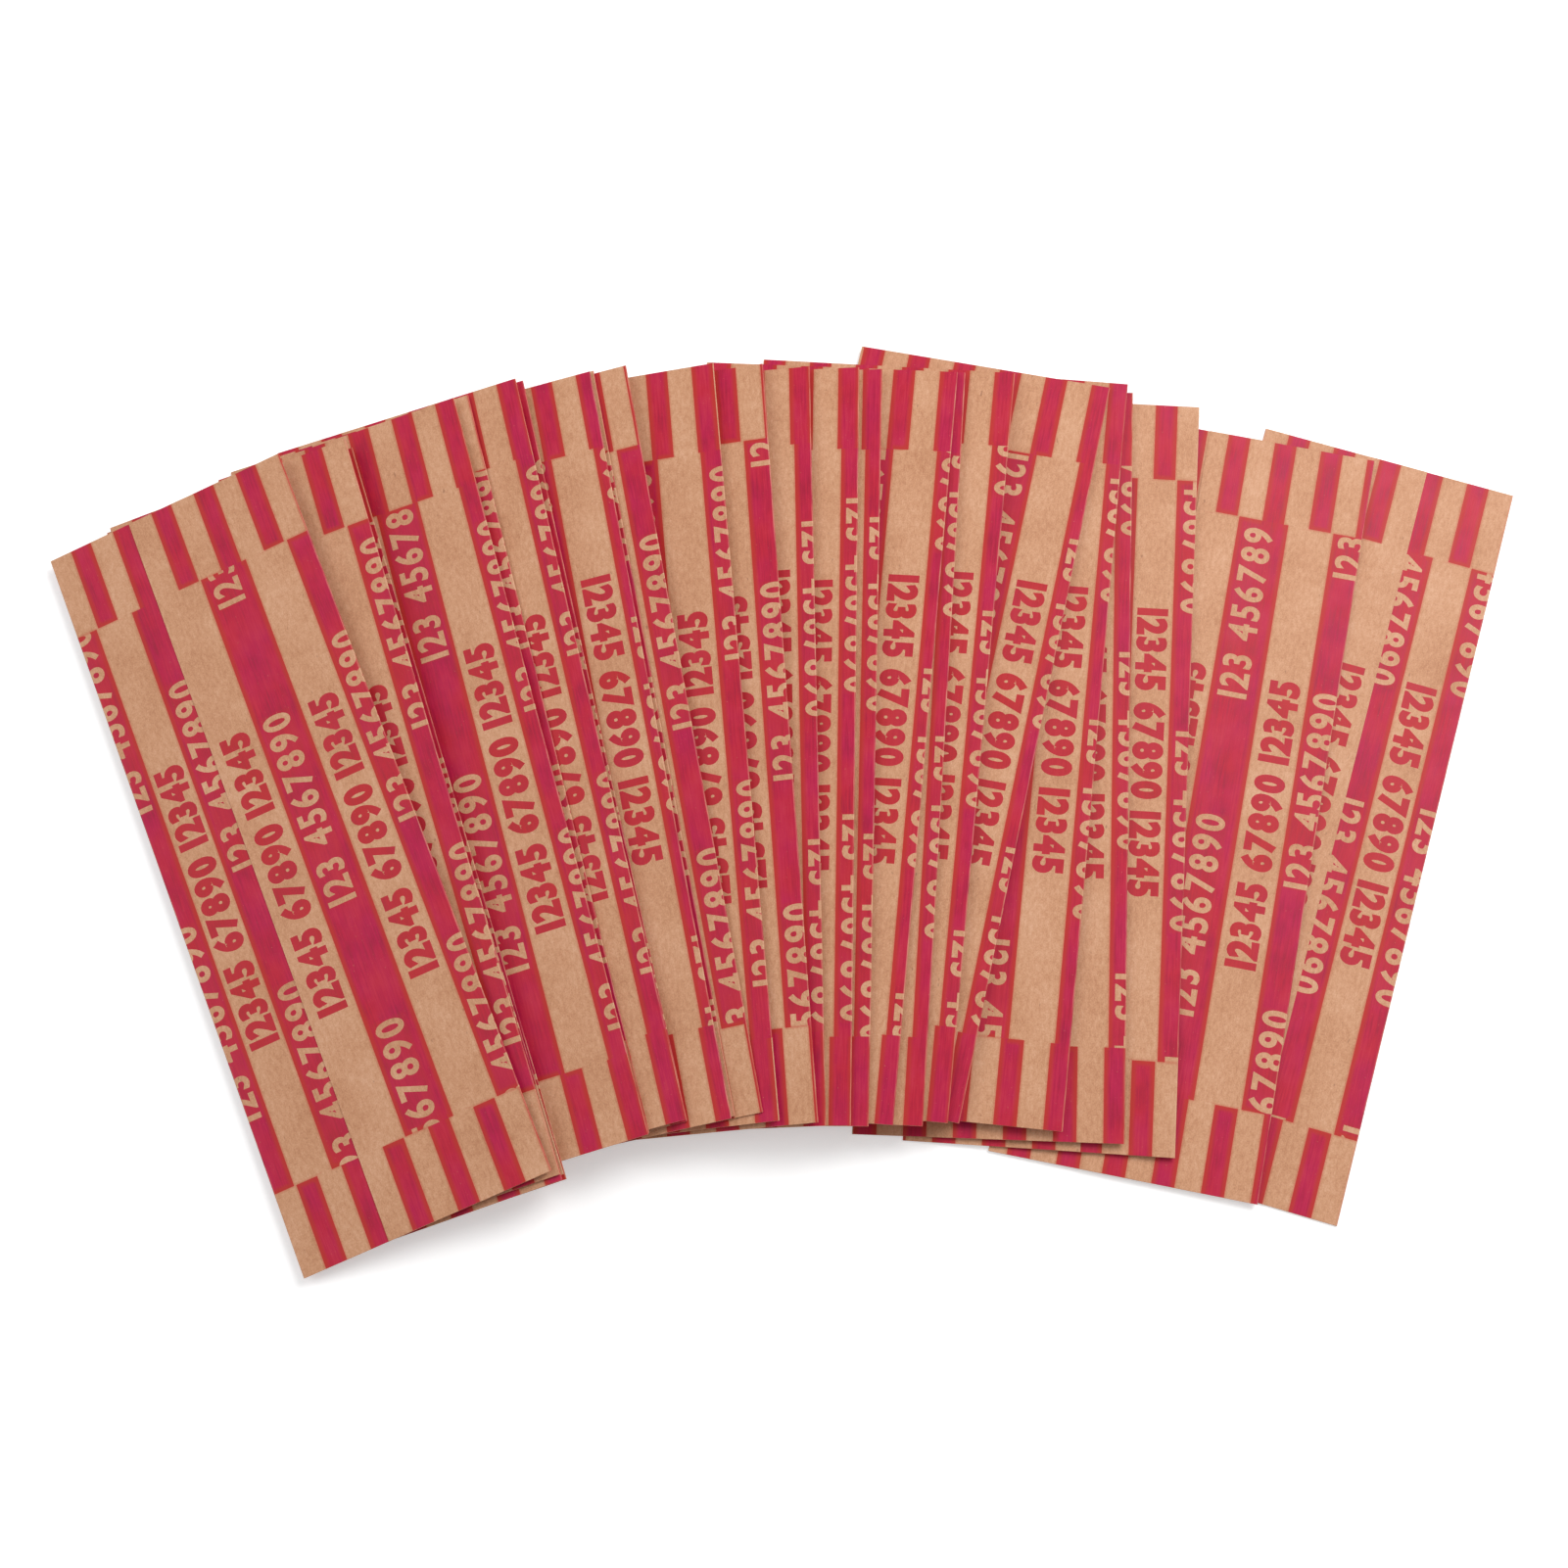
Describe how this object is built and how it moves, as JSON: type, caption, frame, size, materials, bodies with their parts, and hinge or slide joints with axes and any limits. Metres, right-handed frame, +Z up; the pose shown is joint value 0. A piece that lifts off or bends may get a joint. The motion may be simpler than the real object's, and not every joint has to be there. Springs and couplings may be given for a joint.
{
  "type": "fan of flat coin wrappers",
  "caption": "Loose fan of flat kraft-paper coin wrapper tubes with striped print, lying left over right on a table; each one can be drawn out of the pile.",
  "frame": {"origin": "on the table under the middle of the fan's box", "axes": "+Z up from the table, +X to the right along the fan, +Y towards the fan's wide side"},
  "size_m": [0.1772, 0.1138, 0.0078],
  "materials": {
    "kraft_paper": "uncoated brown kraft paper with matt red stripes printed on it"
  },
  "bodies": {
    "wrapper_01": {"wrapper_01": "kraft_paper"},
    "wrapper_02": {"wrapper_02": "kraft_paper"},
    "wrapper_03": {"wrapper_03": "kraft_paper"},
    "wrapper_04": {"wrapper_04": "kraft_paper"},
    "wrapper_05": {"wrapper_05": "kraft_paper"},
    "wrapper_06": {"wrapper_06": "kraft_paper"},
    "wrapper_07": {"wrapper_07": "kraft_paper"},
    "wrapper_08": {"wrapper_08": "kraft_paper"},
    "wrapper_09": {"wrapper_09": "kraft_paper"},
    "wrapper_10": {"wrapper_10": "kraft_paper"},
    "wrapper_11": {"wrapper_11": "kraft_paper"},
    "wrapper_12": {"wrapper_12": "kraft_paper"},
    "wrapper_13": {"wrapper_13": "kraft_paper"},
    "wrapper_14": {"wrapper_14": "kraft_paper"},
    "wrapper_15": {"wrapper_15": "kraft_paper"},
    "wrapper_16": {"wrapper_16": "kraft_paper"},
    "wrapper_17": {"wrapper_17": "kraft_paper"},
    "wrapper_18": {"wrapper_18": "kraft_paper"},
    "wrapper_19": {"wrapper_19": "kraft_paper"},
    "wrapper_20": {"wrapper_20": "kraft_paper"},
    "wrapper_21": {"wrapper_21": "kraft_paper"},
    "wrapper_22": {"wrapper_22": "kraft_paper"},
    "wrapper_23": {"wrapper_23": "kraft_paper"},
    "wrapper_24": {"wrapper_24": "kraft_paper"},
    "wrapper_25": {"wrapper_25": "kraft_paper"},
    "wrapper_26": {"wrapper_26": "kraft_paper"}
  },
  "joints": [
    {"name": "wrapper_01_draw", "type": "slide", "parent": "wrapper_26", "child": "wrapper_01", "axis": [-0.3746, 0.9272, 0], "range_m": [0, 0.1]},
    {"name": "wrapper_02_draw", "type": "slide", "parent": "wrapper_26", "child": "wrapper_02", "axis": [0.3007, -0.9537, 0], "range_m": [0, 0.1]},
    {"name": "wrapper_03_draw", "type": "slide", "parent": "wrapper_26", "child": "wrapper_03", "axis": [-0.309, 0.9511, 0], "range_m": [0, 0.1]},
    {"name": "wrapper_04_draw", "type": "slide", "parent": "wrapper_26", "child": "wrapper_04", "axis": [-0.309, 0.9511, 0], "range_m": [0, 0.1]},
    {"name": "wrapper_05_draw", "type": "slide", "parent": "wrapper_26", "child": "wrapper_05", "axis": [-0.3007, 0.9537, 0], "range_m": [0, 0.1]},
    {"name": "wrapper_06_draw", "type": "slide", "parent": "wrapper_26", "child": "wrapper_06", "axis": [-0.2672, 0.9636, 0], "range_m": [0, 0.1]},
    {"name": "wrapper_07_draw", "type": "slide", "parent": "wrapper_26", "child": "wrapper_07", "axis": [-0.2504, 0.9681, 0], "range_m": [0, 0.1]},
    {"name": "wrapper_08_draw", "type": "slide", "parent": "wrapper_26", "child": "wrapper_08", "axis": [-0.2334, 0.9724, 0], "range_m": [0, 0.1]},
    {"name": "wrapper_09_draw", "type": "slide", "parent": "wrapper_26", "child": "wrapper_09", "axis": [-0.225, 0.9744, 0], "range_m": [0, 0.1]},
    {"name": "wrapper_10_draw", "type": "slide", "parent": "wrapper_26", "child": "wrapper_10", "axis": [-0.1908, 0.9816, 0], "range_m": [0, 0.1]},
    {"name": "wrapper_11_draw", "type": "slide", "parent": "wrapper_26", "child": "wrapper_11", "axis": [-0.1908, 0.9816, 0], "range_m": [0, 0.1]},
    {"name": "wrapper_12_draw", "type": "slide", "parent": "wrapper_26", "child": "wrapper_12", "axis": [-0.1822, 0.9833, 0], "range_m": [0, 0.1]},
    {"name": "wrapper_13_draw", "type": "slide", "parent": "wrapper_26", "child": "wrapper_13", "axis": [-0.0872, 0.9962, 0], "range_m": [0, 0.1]},
    {"name": "wrapper_14_draw", "type": "slide", "parent": "wrapper_26", "child": "wrapper_14", "axis": [-0.0698, 0.9976, 0], "range_m": [0, 0.1]},
    {"name": "wrapper_15_draw", "type": "slide", "parent": "wrapper_26", "child": "wrapper_15", "axis": [-0.0175, 0.9998, 0], "range_m": [0, 0.1]},
    {"name": "wrapper_16_draw", "type": "slide", "parent": "wrapper_26", "child": "wrapper_16", "axis": [0.0175, 0.9998, 0], "range_m": [0, 0.1]},
    {"name": "wrapper_17_draw", "type": "slide", "parent": "wrapper_26", "child": "wrapper_17", "axis": [0.0262, 0.9997, 0], "range_m": [0, 0.1]},
    {"name": "wrapper_18_draw", "type": "slide", "parent": "wrapper_26", "child": "wrapper_18", "axis": [0.0958, 0.9954, 0], "range_m": [0, 0.1]},
    {"name": "wrapper_19_draw", "type": "slide", "parent": "wrapper_26", "child": "wrapper_19", "axis": [0.0698, 0.9976, 0], "range_m": [0, 0.1]},
    {"name": "wrapper_20_draw", "type": "slide", "parent": "wrapper_26", "child": "wrapper_20", "axis": [0.1045, 0.9945, 0], "range_m": [0, 0.1]},
    {"name": "wrapper_21_draw", "type": "slide", "parent": "wrapper_26", "child": "wrapper_21", "axis": [-0.2164, -0.9763, 0], "range_m": [0, 0.1]},
    {"name": "wrapper_22_draw", "type": "slide", "parent": "wrapper_26", "child": "wrapper_22", "axis": [-0.1132, -0.9936, 0], "range_m": [0, 0.1]},
    {"name": "wrapper_23_draw", "type": "slide", "parent": "wrapper_26", "child": "wrapper_23", "axis": [0.0436, 0.999, 0], "range_m": [0, 0.1]},
    {"name": "wrapper_24_draw", "type": "slide", "parent": "wrapper_26", "child": "wrapper_24", "axis": [0.0698, 0.9976, 0], "range_m": [0, 0.1]},
    {"name": "wrapper_25_draw", "type": "slide", "parent": "wrapper_26", "child": "wrapper_25", "axis": [0.1994, 0.9799, 0], "range_m": [0, 0.1]}
  ]
}
